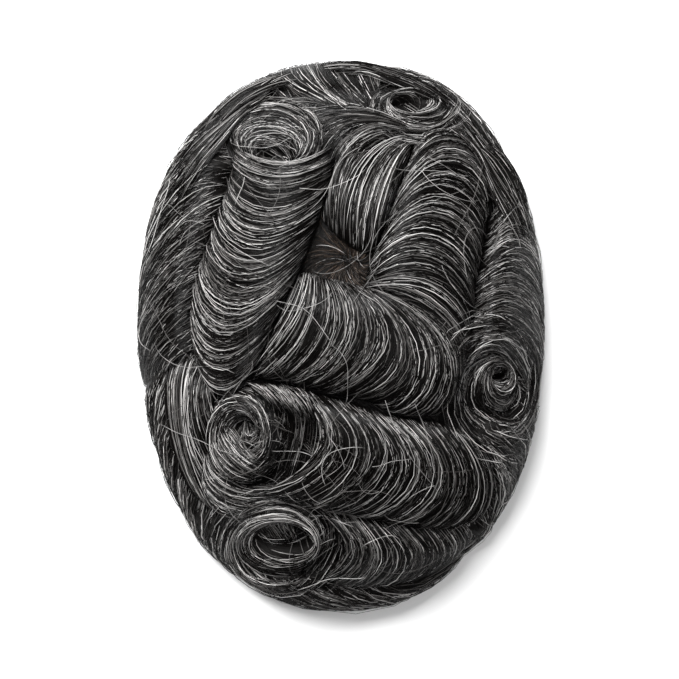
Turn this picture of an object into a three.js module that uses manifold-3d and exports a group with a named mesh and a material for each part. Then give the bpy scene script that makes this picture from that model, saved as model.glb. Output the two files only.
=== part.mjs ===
// A toupee hairpiece, resting on its rim: a thin domed base with hair knotted all over it, set in rolled waves.
// Millimetres, +Z up. The origin is on the surface that it stands on, under the middle of the piece.
// The hairline is at -Y, the back of the head at +Y, and the wearer's left at -X as the piece is seen from above.

import * as THREE from "three";
import { mergeVertices } from "three/addons/utils/BufferGeometryUtils.js";
import Module from "manifold-3d";

const wasm = await Module();
wasm.setup();

// Driving dimensions
const overallWidth = 178;
const overallLength = 241;
const baseHeight = 50;
const baseWall = 1.2;
const crownHairDepth = 25;
const rimHairDepth = 11;
const rootBedDepth = 2.6;
const hemLift = 1.6;
const seatGap = 0.3;
const lockGap = 0.8;
const ridgeDepth = 0.5;
const humpFullness = 2.5;
const rimFold = 0.25;
const frontCornerPower = 2.1;
const backCornerPower = 2.35;

// Mesh fineness
const domeRings = 6;
const domeSides = 32;
const strandSteps = 6;
const whorlRows = 10;
const meshTolerance = 0.2;

// What follows from the driving dimensions
const quarterTurn = Math.PI / 2;
const baseAxes = new THREE.Vector3(
  overallWidth / 2 - rimHairDepth,
  overallLength / 2 - rimHairDepth,
  baseHeight,
);
const hairAxes = new THREE.Vector3(overallWidth / 2, overallLength / 2, baseHeight + crownHairDepth);
const hemReach = Math.acos(hemLift / baseHeight) / quarterTurn;
const bedTop = seatGap + rootBedDepth;
const lockSeat = bedTop + 2 * seatGap;
const hairRings = Array.from({ length: domeRings + 1 }, (_, i) => (hemReach * i) / domeRings);
const rolledScale = new THREE.Vector2(baseAxes.x, baseAxes.y).multiplyScalar(quarterTurn);

// How far out a point given in shares of the half width and half length lies, where 1 is the outline.
function reachOf(x, y) {
  const power = y > 0 ? backCornerPower : frontCornerPower;
  return (Math.abs(x) ** power + Math.abs(y) ** power) ** (1 / power);
}

// From a place seen from above, in shares, to the same place on the dome rolled out flat.
function rollOut(x, y) {
  const reach = reachOf(x, y);
  if (reach === 0) return new THREE.Vector2(0, 0);
  const rolled = Math.min(Math.asin(Math.min(reach, 1)) / quarterTurn, hemReach);
  return new THREE.Vector2(x, y).multiplyScalar(rolled / reach);
}

// A point on the rolled-out dome, at a height above the base's outer face, as a point in space.
function onDome(flat, height) {
  const reach = reachOf(flat.x, flat.y);
  const turn = reach * quarterTurn;
  const spread = reach === 0 ? 1 : Math.sin(turn) / reach;
  const unit = new THREE.Vector3(flat.x * spread, flat.y * spread, Math.cos(turn));
  const below = unit.clone().multiply(baseAxes);
  const above = unit.multiply(hairAxes);
  return above.sub(below).setLength(height).add(below);
}

// The depth of hair that there is room for at a place on the rolled-out dome.
function hairRoom(flat) {
  const reach = reachOf(flat.x, flat.y);
  const turn = reach * quarterTurn;
  const spread = reach === 0 ? 1 : Math.sin(turn) / reach;
  const grow = hairAxes.clone().sub(baseAxes);
  return Math.hypot(flat.x * spread * grow.x, flat.y * spread * grow.y, Math.cos(turn) * grow.z);
}

// The locks. Each row is one strand seen from above, from its root over its middle to its tip. Places are
// shares of the half width and half length, and rise is a share of the hair's depth at that place.
const strandColumns = ["rootX", "rootY", "midX", "midY", "tipX", "tipY", "rise"];
const lockTables = {
  left_barrel_curl: {
    ridges: 9,
    overRim: false,
    strands: [
      [-0.55, 0.69, -0.28, 0.615, -0.03, 0.705, 0.78],
      [-0.56, 0.64, -0.31, 0.555, -0.035, 0.63, 0.97],
      [-0.595, 0.54, -0.355, 0.445, -0.075, 0.53, 1],
      [-0.64, 0.44, -0.405, 0.335, -0.115, 0.435, 1],
      [-0.69, 0.335, -0.455, 0.215, -0.165, 0.335, 1],
      [-0.735, 0.245, -0.5, 0.115, -0.205, 0.255, 1],
      [-0.765, 0.145, -0.55, 0.005, -0.265, 0.165, 0.97],
      [-0.77, 0.04, -0.58, -0.08, -0.335, 0.055, 0.92],
      [-0.75, -0.06, -0.59, -0.155, -0.405, -0.06, 0.84],
      [-0.72, -0.14, -0.6, -0.205, -0.48, -0.155, 0.55],
    ],
  },
  centre_wave: {
    ridges: 9,
    overRim: false,
    strands: [
      [-0.215, 0.245, -0.28, 0.04, -0.445, -0.16, 0.65],
      [-0.16, 0.235, -0.16, 0.02, -0.305, -0.175, 0.85],
      [-0.095, 0.22, -0.025, 0, -0.175, -0.195, 0.9],
      [-0.03, 0.21, 0.11, -0.015, -0.04, -0.225, 0.93],
      [0.03, 0.2, 0.24, -0.035, 0.1, -0.24, 0.93],
      [0.07, 0.19, 0.345, -0.05, 0.26, -0.29, 0.93],
      [0.1, 0.185, 0.435, -0.035, 0.41, -0.305, 0.9],
      [0.115, 0.18, 0.5, -0.025, 0.54, -0.285, 0.84],
      [0.13, 0.18, 0.53, 0.025, 0.615, -0.15, 0.65],
    ],
  },
  right_wave: {
    ridges: 9,
    overRim: false,
    strands: [
      [0.125, 0.19, 0.43, 0.1, 0.65, -0.07, 0.8],
      [0.13, 0.215, 0.43, 0.225, 0.68, 0.055, 0.88],
      [0.145, 0.265, 0.425, 0.345, 0.7, 0.18, 0.92],
      [0.18, 0.32, 0.445, 0.415, 0.72, 0.27, 0.97],
      [0.215, 0.38, 0.465, 0.495, 0.74, 0.36, 0.97],
      [0.245, 0.445, 0.495, 0.57, 0.755, 0.445, 0.97],
      [0.28, 0.515, 0.52, 0.63, 0.765, 0.525, 0.93],
      [0.32, 0.595, 0.53, 0.69, 0.76, 0.595, 0.87],
      [0.36, 0.67, 0.53, 0.73, 0.725, 0.66, 0.75],
      [0.385, 0.725, 0.51, 0.76, 0.65, 0.725, 0.5],
    ],
  },
  crown_back_wave: {
    ridges: 6,
    overRim: false,
    strands: [
      [0.3, 0.775, -0.03, 0.715, -0.1, 0.44, 0.65],
      [0.32, 0.76, 0.02, 0.665, -0.05, 0.39, 0.78],
      [0.335, 0.745, 0.085, 0.615, 0.02, 0.35, 0.8],
      [0.35, 0.73, 0.15, 0.58, 0.09, 0.32, 0.78],
      [0.365, 0.72, 0.225, 0.55, 0.16, 0.31, 0.7],
      [0.38, 0.71, 0.29, 0.53, 0.22, 0.33, 0.5],
    ],
  },
  front_wave: {
    ridges: 9,
    overRim: false,
    strands: [
      [-0.305, -0.18, -0.075, -0.39, -0.385, -0.605, 0.7],
      [-0.2, -0.2, 0, -0.405, -0.25, -0.635, 0.9],
      [-0.095, -0.225, 0.1, -0.43, -0.11, -0.66, 0.95],
      [0.02, -0.245, 0.23, -0.455, 0.035, -0.675, 0.95],
      [0.14, -0.275, 0.345, -0.48, 0.18, -0.695, 0.95],
      [0.26, -0.3, 0.46, -0.5, 0.325, -0.715, 0.93],
      [0.385, -0.315, 0.56, -0.52, 0.46, -0.73, 0.9],
      [0.49, -0.325, 0.65, -0.535, 0.58, -0.725, 0.86],
      [0.59, -0.345, 0.72, -0.54, 0.68, -0.7, 0.76],
      [0.685, -0.385, 0.77, -0.54, 0.745, -0.65, 0.5],
    ],
  },
  right_side_curl: {
    ridges: 7,
    overRim: true,
    strands: [
      [0.78, 0.43, 0.86, 0.54, 0.93, 0.52, 0.9],
      [0.74, 0.31, 0.875, 0.41, 1, 0.33, 0.95],
      [0.71, 0.21, 0.87, 0.3, 1.02, 0.2, 1],
      [0.68, 0.11, 0.86, 0.2, 1.02, 0.08, 1],
      [0.66, 0.02, 0.85, 0.11, 1.02, -0.03, 1],
      [0.64, -0.05, 0.825, 0.03, 1, -0.12, 1],
      [0.63, -0.12, 0.8, -0.04, 0.96, -0.2, 0.85],
    ],
  },
  back_band: {
    ridges: 6,
    overRim: true,
    strands: [
      [-0.32, 0.8, -0.42, 0.88, -0.47, 0.95, 0.78],
      [-0.17, 0.81, -0.27, 0.9, -0.28, 1, 0.93],
      [-0.03, 0.8, -0.14, 0.905, -0.16, 1.02, 1],
      [0.09, 0.79, -0.015, 0.905, -0.03, 1.03, 1],
      [0.205, 0.77, 0.09, 0.9, 0.08, 1, 0.97],
      [0.28, 0.75, 0.17, 0.875, 0.15, 0.99, 0.95],
      [0.33, 0.73, 0.23, 0.83, 0.195, 0.93, 0.75],
    ],
  },
  back_sweep: {
    ridges: 2,
    overRim: false,
    strands: [
      [0.27, 0.765, -0.06, 0.835, -0.44, 0.825, 0.55],
      [0.275, 0.755, -0.05, 0.81, -0.46, 0.79, 0.6],
      [0.28, 0.745, -0.03, 0.77, -0.5, 0.755, 0.5],
    ],
  },
  front_left_lip: {
    ridges: 2,
    overRim: false,
    strands: [
      [-0.7, -0.42, -0.58, -0.545, -0.28, -0.565, 0.5],
      [-0.71, -0.47, -0.58, -0.6, -0.22, -0.63, 0.7],
      [-0.72, -0.53, -0.57, -0.665, -0.2, -0.69, 0.6],
    ],
  },
  front_under_wave: {
    ridges: 5,
    overRim: false,
    strands: [
      [-0.13, -0.65, 0.05, -0.79, -0.13, -0.93, 0.62],
      [0, -0.66, 0.17, -0.8, 0.03, -0.95, 0.78],
      [0.15, -0.69, 0.3, -0.81, 0.19, -0.94, 0.8],
      [0.3, -0.71, 0.43, -0.81, 0.34, -0.92, 0.78],
      [0.45, -0.71, 0.55, -0.79, 0.48, -0.88, 0.72],
      [0.58, -0.69, 0.66, -0.745, 0.62, -0.8, 0.5],
    ],
  },
  back_right_band: {
    ridges: 4,
    overRim: false,
    strands: [
      [0.1, 0.92, 0.45, 0.815, 0.7, 0.56, 0.6],
      [0.04, 0.97, 0.49, 0.855, 0.8, 0.45, 0.8],
      [0, 1, 0.54, 0.88, 0.88, 0.4, 0.9],
      [-0.06, 1.03, 0.61, 0.935, 0.99, 0.36, 0.93],
    ],
  },
  left_band: {
    ridges: 9,
    overRim: true,
    strands: [
      [-0.33, 0.87, -0.42, 0.91, -0.5, 0.93, 0.75],
      [-0.44, 0.76, -0.6, 0.8, -0.76, 0.76, 0.8],
      [-0.52, 0.68, -0.69, 0.705, -0.86, 0.64, 0.9],
      [-0.58, 0.6, -0.76, 0.6, -0.92, 0.52, 1],
      [-0.62, 0.5, -0.815, 0.48, -0.96, 0.4, 1],
      [-0.67, 0.38, -0.855, 0.345, -0.99, 0.27, 1],
      [-0.71, 0.27, -0.88, 0.23, -1, 0.15, 1],
      [-0.73, 0.16, -0.89, 0.115, -1.01, 0.04, 1],
      [-0.73, 0.05, -0.895, 0.01, -1, -0.07, 1],
      [-0.72, -0.06, -0.89, -0.1, -0.99, -0.18, 0.9],
    ],
  },
  left_long_lock: {
    ridges: 2,
    overRim: false,
    strands: [
      [-0.885, -0.06, -0.865, -0.34, -0.735, -0.63, 0.6],
      [-0.82, -0.06, -0.81, -0.35, -0.68, -0.65, 0.76],
      [-0.75, -0.08, -0.74, -0.36, -0.62, -0.68, 0.76],
      [-0.68, -0.14, -0.66, -0.375, -0.56, -0.71, 0.5],
    ],
  },
  left_lower_band: {
    ridges: 7,
    overRim: true,
    strands: [
      [-0.8, -0.02, -0.93, -0.13, -1, -0.2, 0.9],
      [-0.82, -0.15, -0.92, -0.26, -0.97, -0.34, 0.85],
      [-0.8, -0.3, -0.9, -0.39, -0.93, -0.47, 0.8],
      [-0.76, -0.43, -0.86, -0.51, -0.87, -0.6, 0.8],
      [-0.68, -0.54, -0.785, -0.63, -0.8, -0.72, 0.85],
      [-0.59, -0.66, -0.695, -0.735, -0.7, -0.82, 1],
      [-0.46, -0.78, -0.53, -0.86, -0.5, -0.95, 0.95],
    ],
  },
  front_rim_band: {
    ridges: 7,
    overRim: true,
    strands: [
      [-0.56, -0.7, -0.57, -0.82, -0.56, -0.9, 0.95],
      [-0.42, -0.8, -0.38, -0.9, -0.32, -0.99, 1],
      [-0.3, -0.84, -0.24, -0.935, -0.15, -1.02, 1],
      [-0.14, -0.87, -0.055, -0.955, 0.05, -1.03, 1],
      [0.04, -0.88, 0.15, -0.955, 0.26, -1, 1],
      [0.22, -0.86, 0.32, -0.93, 0.43, -0.95, 1],
      [0.4, -0.78, 0.51, -0.85, 0.62, -0.85, 0.95],
    ],
  },
  right_rim_band: {
    ridges: 8,
    overRim: true,
    strands: [
      [0.84, -0.22, 0.9, -0.19, 1.01, -0.1, 0.85],
      [0.7, -0.34, 0.87, -0.31, 1, -0.24, 1],
      [0.72, -0.42, 0.86, -0.4, 0.97, -0.34, 1],
      [0.72, -0.5, 0.84, -0.485, 0.94, -0.44, 1],
      [0.7, -0.58, 0.8, -0.575, 0.89, -0.54, 1],
      [0.64, -0.66, 0.73, -0.665, 0.82, -0.65, 1],
      [0.55, -0.73, 0.65, -0.75, 0.73, -0.75, 1],
      [0.38, -0.82, 0.47, -0.87, 0.5, -0.92, 0.95],
    ],
  },
};

// The curled ends, seen from above: an outer oval round a smaller eye, in shares as above, and how far the
// strands turn on their way out of the eye.
const whorlColumns = [
  "centreX", "centreY", "reachX", "reachY", "eyeX", "eyeY", "eyeReachX", "eyeReachY", "turnDegrees", "rise",
];
const whorlTables = {
  barrel_curl_mouth: [-0.325, 0.73, 0.28, 0.15, -0.32, 0.665, 0.085, 0.032, 70, 0.85],
  front_left_whorl: [-0.505, -0.375, 0.19, 0.18, -0.49, -0.335, 0.045, 0.03, 70, 0.72],
  right_whorl: [0.78, -0.18, 0.11, 0.11, 0.79, -0.145, 0.03, 0.02, 70, 0.72],
  back_whorl: [0.375, 0.84, 0.16, 0.07, 0.335, 0.855, 0.08, 0.028, 70, 0.72],
  front_under_whorl: [-0.32, -0.765, 0.225, 0.125, -0.285, -0.745, 0.14, 0.05, 70, 0.68],
};

// The locks from the one that lies on top to the one that lies deepest. Each is cut clear of those before it.
const stackingOrder = [
  "left_barrel_curl", "centre_wave", "right_wave", "crown_back_wave", "front_wave", "barrel_curl_mouth",
  "front_left_whorl", "right_whorl", "back_whorl", "front_under_whorl", "right_side_curl", "back_band",
  "back_sweep", "front_left_lip", "front_under_wave", "back_right_band", "left_band", "left_long_lock",
  "left_lower_band", "front_rim_band", "right_rim_band",
];

// A row of a table as an object with the table's columns as its keys.
function named(columns, row) {
  return Object.fromEntries(columns.map((column, i) => [column, row[i]]));
}

// A lock from its table: whether its strands run all the way round, whether their tips hang over the rim, how
// many ridges it has, and three guide curves through its strands' roots, middles and tips on the rolled-out dome.
function lockNamed(name) {
  const closed = name in whorlTables;
  const strands = closed
    ? whorlStrands(named(whorlColumns, whorlTables[name]))
    : lockTables[name].strands.map((row) => named(strandColumns, row));
  const through = (place) =>
    new THREE.CatmullRomCurve3(
      strands.map((strand) => new THREE.Vector3(...place(strand).toArray(), strand.rise)),
      closed,
      "catmullrom",
    );
  return {
    closed,
    overRim: closed ? false : lockTables[name].overRim,
    ridges: closed ? whorlRows : lockTables[name].ridges,
    root: through((strand) => rollOut(strand.rootX, strand.rootY)),
    mid: through((strand) => rollOut(strand.midX, strand.midY)),
    tip: through((strand) => rollOut(strand.tipX, strand.tipY)),
  };
}

// A whorl's strands, worked out round its oval.
function whorlStrands(whorl) {
  const strands = [];
  for (let i = 0; i < whorlRows; i += 1) {
    const angle = (i / whorlRows) * 2 * Math.PI;
    const turn = THREE.MathUtils.degToRad(whorl.turnDegrees);
    const ring = (share, at) => [
      THREE.MathUtils.lerp(whorl.eyeX, whorl.centreX, share) +
        THREE.MathUtils.lerp(whorl.eyeReachX, whorl.reachX, share) * Math.cos(at),
      THREE.MathUtils.lerp(whorl.eyeY, whorl.centreY, share) +
        THREE.MathUtils.lerp(whorl.eyeReachY, whorl.reachY, share) * Math.sin(at),
    ];
    const row = [...ring(0, angle), ...ring(0.5, angle + turn / 2), ...ring(1, angle + turn), whorl.rise];
    strands.push(named(strandColumns, row));
  }
  return strands;
}

// A place on a lock, as a point on the rolled-out dome with the lock's rise there: along counts from the first
// strand to the last, and down from a strand's root to its tip.
function lockPoint(lock, along, down) {
  const root = lock.root.getPoint(along);
  const mid = lock.mid.getPoint(along);
  const tip = lock.tip.getPoint(along);
  const bend = mid.multiplyScalar(2).sub(root.clone().add(tip).multiplyScalar(0.5));
  const point = root
    .clone()
    .multiplyScalar((1 - down) ** 2)
    .addScaledVector(bend, 2 * down * (1 - down))
    .addScaledVector(tip, down ** 2);
  return { flat: keepAboveHem(new THREE.Vector2(point.x, point.y)), rise: root.z };
}

// Holds a rolled-out place to where the hair ends above the surface.
function keepAboveHem(flat) {
  const reach = reachOf(flat.x, flat.y);
  return reach > hemReach ? flat.multiplyScalar(hemReach / reach) : flat;
}

// A closed solid from a grid of points on its upper face and a like grid on its lower face. Where the two
// share a first or last column there is no side wall, and a closed solid's last row joins its first.
function solidFromFaces(upper, lower, closed) {
  const positions = [];
  const quad = (a, b, c, d) => {
    for (const corner of [a, b, c, a, c, d]) positions.push(...corner.toArray());
  };
  const rows = upper.length;
  const columns = upper[0].length;
  for (let i = 0; i < (closed ? rows : rows - 1); i += 1) {
    const next = (i + 1) % rows;
    for (let j = 0; j < columns - 1; j += 1) {
      quad(upper[i][j], upper[i][j + 1], upper[next][j + 1], upper[next][j]);
      quad(lower[i][j], lower[next][j], lower[next][j + 1], lower[i][j + 1]);
    }
    quad(lower[i][0], upper[i][0], upper[next][0], lower[next][0]);
    quad(upper[i][columns - 1], lower[i][columns - 1], lower[next][columns - 1], upper[next][columns - 1]);
  }
  if (!closed) {
    for (let j = 0; j < columns - 1; j += 1) {
      quad(lower[0][j], lower[0][j + 1], upper[0][j + 1], upper[0][j]);
      quad(upper[rows - 1][j], upper[rows - 1][j + 1], lower[rows - 1][j + 1], lower[rows - 1][j]);
    }
  }
  return solidFromTriangles(positions);
}

// A manifold solid from loose triangles, turned outward if they face in.
function solidFromTriangles(positions) {
  const loose = new THREE.BufferGeometry().setAttribute(
    "position",
    new THREE.Float32BufferAttribute(positions, 3),
  );
  const merged = mergeVertices(loose, 1e-3);
  const corners = merged.index.array;
  const kept = [];
  for (let i = 0; i < corners.length; i += 3) {
    const [a, b, c] = corners.subarray(i, i + 3);
    if (a !== b && b !== c && c !== a) kept.push(a, b, c);
  }
  const vertProperties = merged.attributes.position.array;
  const outward = signedVolume(vertProperties, kept) > 0;
  const triVerts = new Uint32Array(outward ? kept : kept.reverse());
  return new wasm.Manifold(new wasm.Mesh({ numProp: 3, vertProperties, triVerts }));
}

function signedVolume(points, corners) {
  const at = (i) => new THREE.Vector3().fromArray(points, 3 * i);
  let sixfold = 0;
  for (let i = 0; i < corners.length; i += 3) {
    sixfold += at(corners[i]).dot(at(corners[i + 1]).cross(at(corners[i + 2])));
  }
  return sixfold / 6;
}

// The edges of a grid of rolled-out places, as closed loops that run the same way round, and whether the grid
// lies inside each.
function edgeLoops(grid, closed) {
  const last = grid.length - 1;
  const end = grid[0].length - 1;
  if (closed) {
    return [
      { places: grid.map((row) => row[end]), around: true },
      { places: grid.map((row) => row[0]), around: false },
    ];
  }
  const places = [
    ...grid[0].slice(0, end),
    ...grid.slice(0, last).map((row) => row[end]),
    ...grid[last].slice(1).reverse(),
    ...grid.slice(1).map((row) => row[0]).reverse(),
  ];
  return [{ places, around: true }];
}

// Moves the edges of a grid of rolled-out places outward by a length, or inward if it is negative.
function moveEdges(grid, closed, length) {
  const moves = [];
  for (const { places, around } of edgeLoops(grid, closed)) {
    const side = Math.sign(THREE.ShapeUtils.area(places)) * (around ? 1 : -1);
    places.forEach((place, i) => {
      const before = places[(i + places.length - 1) % places.length];
      const after = places[(i + 1) % places.length];
      const way = after.clone().sub(before).multiply(rolledScale);
      const out = new THREE.Vector2(way.y, -way.x).setLength(side * length).divide(rolledScale);
      moves.push([place, out]);
    });
  }
  for (const [place, out] of moves) place.copy(keepAboveHem(place.add(out)));
}

// How high a lock stands, as a share of its rise, a way down its strands given as an angle up to half a turn.
// Tips that hang over the rim stay high, and end bluntly.
function humpAt(angle, overRim) {
  const folded = overRim && angle > quarterTurn ? quarterTurn + (angle - quarterTurn) * rimFold : angle;
  return (1 - Math.abs(Math.cos(folded)) ** humpFullness) ** (1 / humpFullness);
}

// One lock as a solid: a rounded hump over its strands, ridged clump by clump. With a margin it is the room
// that a deeper lock is cut clear of.
function lockSolid(lock, margin) {
  const stations = 2 * lock.ridges;
  const angleOf = (j) => (j / strandSteps) * Math.PI;
  const rows = [];
  for (let i = 0; i < (lock.closed ? stations : stations + 1); i += 1) {
    const row = [];
    for (let j = 0; j <= strandSteps; j += 1) {
      row.push(lockPoint(lock, i / stations, (1 - Math.cos(angleOf(j))) / 2));
    }
    rows.push(row);
  }
  const grid = rows.map((row) => row.map((point) => point.flat));
  moveEdges(grid, lock.closed, margin - lockGap / 2);
  const upper = [];
  const lower = [];
  rows.forEach((row, i) => {
    const furrow = i % 2 === 0 && margin === 0 ? ridgeDepth : 0;
    const topOf = ({ flat, rise }, j) => {
      const hump = humpAt(angleOf(j), lock.overRim);
      return hump < 1e-3 ? 0 : Math.max((hairRoom(flat) - lockSeat) * rise * hump - furrow, seatGap);
    };
    upper.push(row.map((point, j) => onDome(point.flat, lockSeat + topOf(point, j) + margin)));
    lower.push(row.map((point) => onDome(point.flat, lockSeat - 2 * margin)));
  });
  return solidFromFaces(upper, lower, lock.closed);
}

// A domed shell between two heights over the base, through rings that are shares of the way to the rim.
function shellSolid(lowHeight, highHeight, rings) {
  const around = (i) => {
    const angle = (i / domeSides) * 2 * Math.PI;
    const way = new THREE.Vector2(Math.cos(angle), Math.sin(angle));
    return way.divideScalar(reachOf(way.x, way.y));
  };
  const face = (height) => {
    return rings.map((reach) => {
      const row = [];
      for (let j = 0; j < domeSides; j += 1) row.push(onDome(around(j).multiplyScalar(reach), height));
      return row;
    });
  };
  const last = rings.length - 1;
  const high = face(highHeight);
  const low = face(lowHeight);
  const positions = [];
  const quad = (a, b, c, d) => {
    for (const corner of [a, b, c, a, c, d]) positions.push(...corner.toArray());
  };
  for (let j = 0; j < domeSides; j += 1) {
    const next = (j + 1) % domeSides;
    for (let i = 0; i < last; i += 1) {
      quad(high[i][j], high[i + 1][j], high[i + 1][next], high[i][next]);
      quad(low[i][j], low[i][next], low[i + 1][next], low[i + 1][j]);
    }
    quad(high[last][j], low[last][j], low[last][next], high[last][next]);
  }
  return solidFromTriangles(positions);
}

// A three.js geometry from a manifold solid.
function geometryOf(solid) {
  const mesh = solid.getMesh();
  const indexed = new THREE.BufferGeometry();
  indexed.setAttribute("position", new THREE.Float32BufferAttribute(mesh.vertProperties, mesh.numProp));
  indexed.setIndex(Array.from(mesh.triVerts));
  const geometry = indexed.toNonIndexed();
  geometry.computeVertexNormals();
  return geometry;
}

// What is left of a lock once any crumbs that were cut off it are dropped.
function largestBody(solid) {
  return solid.decompose().reduce((best, body) => (body.volume() > best.volume() ? body : best));
}

// Every lock's solid by name, each cut clear of the roots' bed and of the locks that lie on top of it.
function lockSolids() {
  const solids = new Map();
  const rooms = [shellSolid(0, bedTop + seatGap, hairRings)];
  for (const name of stackingOrder) {
    const lock = lockNamed(name);
    const solid = rooms.reduce((left, room) => left.subtract(room), lockSolid(lock, 0));
    solids.set(name, largestBody(solid.simplify(meshTolerance)));
    rooms.push(lockSolid(lock, lockGap));
  }
  return solids;
}

const hairMaterial = new THREE.MeshStandardMaterial({ color: 0x2b2928, roughness: 0.45, metalness: 0 });
const rootMaterial = new THREE.MeshStandardMaterial({ color: 0x15110f, roughness: 0.6, metalness: 0 });
const baseMaterial = new THREE.MeshStandardMaterial({ color: 0x9a8272, roughness: 0.55, metalness: 0 });

function addPiece(group, name, solid, material) {
  const mesh = new THREE.Mesh(geometryOf(solid), material);
  mesh.name = name;
  group.add(mesh);
}

const toupee = new THREE.Group();
addPiece(toupee, "base_cap", shellSolid(-baseWall, 0, [...hairRings, 1]), baseMaterial);
addPiece(toupee, "root_bed", shellSolid(seatGap, bedTop, hairRings), rootMaterial);
for (const [name, solid] of lockSolids()) addPiece(toupee, name, solid, hairMaterial);

export default toupee;
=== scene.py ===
"""The looks of the toupee hairpiece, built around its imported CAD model: every lock gets a smooth core of
dark hair and thousands of combed strands, the base a fine net, and the scene a pale floor and soft light.

Places on the piece are shares of its half width and half length, as in the CAD model: x runs from the
wearer's left, -1, to the right, and y from the hairline, -1, to the back of the head. A strand is placed
on the dome rolled out flat, and lifted from it by its lock's shape.
"""
import math

import bmesh
import bpy
import numpy as np
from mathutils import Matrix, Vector


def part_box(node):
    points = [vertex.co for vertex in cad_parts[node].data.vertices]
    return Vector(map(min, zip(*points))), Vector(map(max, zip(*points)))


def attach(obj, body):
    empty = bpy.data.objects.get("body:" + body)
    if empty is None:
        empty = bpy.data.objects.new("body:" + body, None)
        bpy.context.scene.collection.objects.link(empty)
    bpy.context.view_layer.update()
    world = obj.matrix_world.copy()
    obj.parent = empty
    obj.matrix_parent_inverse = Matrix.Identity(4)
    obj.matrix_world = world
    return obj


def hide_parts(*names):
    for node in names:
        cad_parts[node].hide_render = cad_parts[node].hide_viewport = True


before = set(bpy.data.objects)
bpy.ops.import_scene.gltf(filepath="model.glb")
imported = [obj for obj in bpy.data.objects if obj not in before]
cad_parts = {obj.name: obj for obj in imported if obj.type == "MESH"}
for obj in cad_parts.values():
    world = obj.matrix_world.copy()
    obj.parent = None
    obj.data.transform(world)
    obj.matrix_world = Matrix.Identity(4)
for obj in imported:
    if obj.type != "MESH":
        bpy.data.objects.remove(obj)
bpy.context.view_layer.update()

MM = 0.001

# Sizes that the CAD model is built from, in metres
base_low, base_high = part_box("base_cap")
BASE_AXES = np.array([(base_high.x - base_low.x) / 2, (base_high.y - base_low.y) / 2, base_high.z])
RIM_HAIR_DEPTH = 11 * MM
CROWN_HAIR_DEPTH = 25 * MM
HAIR_AXES = BASE_AXES + np.array([RIM_HAIR_DEPTH, RIM_HAIR_DEPTH, CROWN_HAIR_DEPTH])
HAIR_GROWTH = HAIR_AXES - BASE_AXES
FRONT_CORNER_POWER = 2.1
BACK_CORNER_POWER = 2.35
HEM_LIFT = 1.6 * MM
BED_LOW = 0.3 * MM
BED_TOP = 2.9 * MM
LOCK_SEAT = 3.5 * MM
HUMP_FULLNESS = 2.5
RIM_FOLD = 0.25
QUARTER_TURN = math.pi / 2
HEM_REACH = math.acos(HEM_LIFT / BASE_AXES[2]) / QUARTER_TURN
ROLLED_SCALE = BASE_AXES[:2] * QUARTER_TURN

# How wide the valley beside a higher lock is, how far past its end a lock sinks, and how much lower than
# its top its dark core lies
VALLEY_WIDTH = 5.5 * MM
END_FADE = 5 * MM
CORE_SHARE = 0.92
CORE_SINK = 0.35 * MM

# How strands are made: their clumps, thickness, the length of a step and how many they have, and how high
# they lie on a lock or over it
CLUMP_WIDTH = 2.4 * MM
STRAND_DIAMETER = 0.29 * MM
STEP_LENGTH = 5.4 * MM
FEWEST_STEPS = 5
MOST_STEPS = 10
SHEET_STEPS = 8
SHORT_STEPS = 6
LOOSE_STEPS = 14
STAND_DEPTH = 4 * MM
STRAND_BED_SHARE = 0.94
SHEET_LIFT = 0.5 * MM
TUBE_SIDES = 3
UV_SPAN = 0.25

# How long strands are, as a share of the way round a whorl or down another lock, and how much wider than a
# whorl the band is that its strands cover
WHORL_STRAND_SHARE = 0.38
WHORL_BAND = 1.3
LOCK_STRAND_SHARE = 0.8

# Number, shortest and longest of the strands in the valleys, and of the roots at the crown
UNDER_HAIR = (950, 9 * MM, 20 * MM)
CROWN_ROOTS = (420, 6 * MM, 15 * MM)

# How far strands lean along their lock, in mm, at the root and at the tip, and how much of the way down
# the lock each of them covers, where it isn't the usual
USUAL_LEAN = (0, 0, 1)
LEANS = {
    "left_barrel_curl": (-14, -11, 1),
    "centre_wave": (3, -12, 1),
    "right_wave": (-12, -9, 1),
    "front_wave": (2, -13, 1),
    "front_under_wave": (0, -9, 1),
    "left_band": (-14, 30, 0.72),
    "back_band": (38, 0, 0.95),
    "left_lower_band": (-28, 32, 0.5),
    "front_rim_band": (-30, 34, 0.45),
    "right_rim_band": (-26, 32, 0.45),
    "right_side_curl": (-4, 8, 0.85),
}

# How sharply the leaning grows towards the root, where it isn't the usual
USUAL_SWEEP = 2
SWEEPS = {"back_band": 3.5}

# The share of grey strands in each lock, where it isn't the usual
USUAL_GREY = 0.33
GREYS = {"left_band": 0.24, "back_band": 0.2, "back_right_band": 0.26, "front_wave": 0.29}

# How thickly each lock is covered by strands, where it isn't the usual
USUAL_COVER = 2.15
COVERS = {
    "left_band": 1.75,
    "left_lower_band": 1.4,
    "front_rim_band": 1.3,
    "right_rim_band": 1.35,
    "barrel_curl_mouth": 2.1,
    "front_left_whorl": 2.4,
    "front_under_whorl": 1.9,
    "right_whorl": 2.5,
    "back_whorl": 2.0,
}

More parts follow.
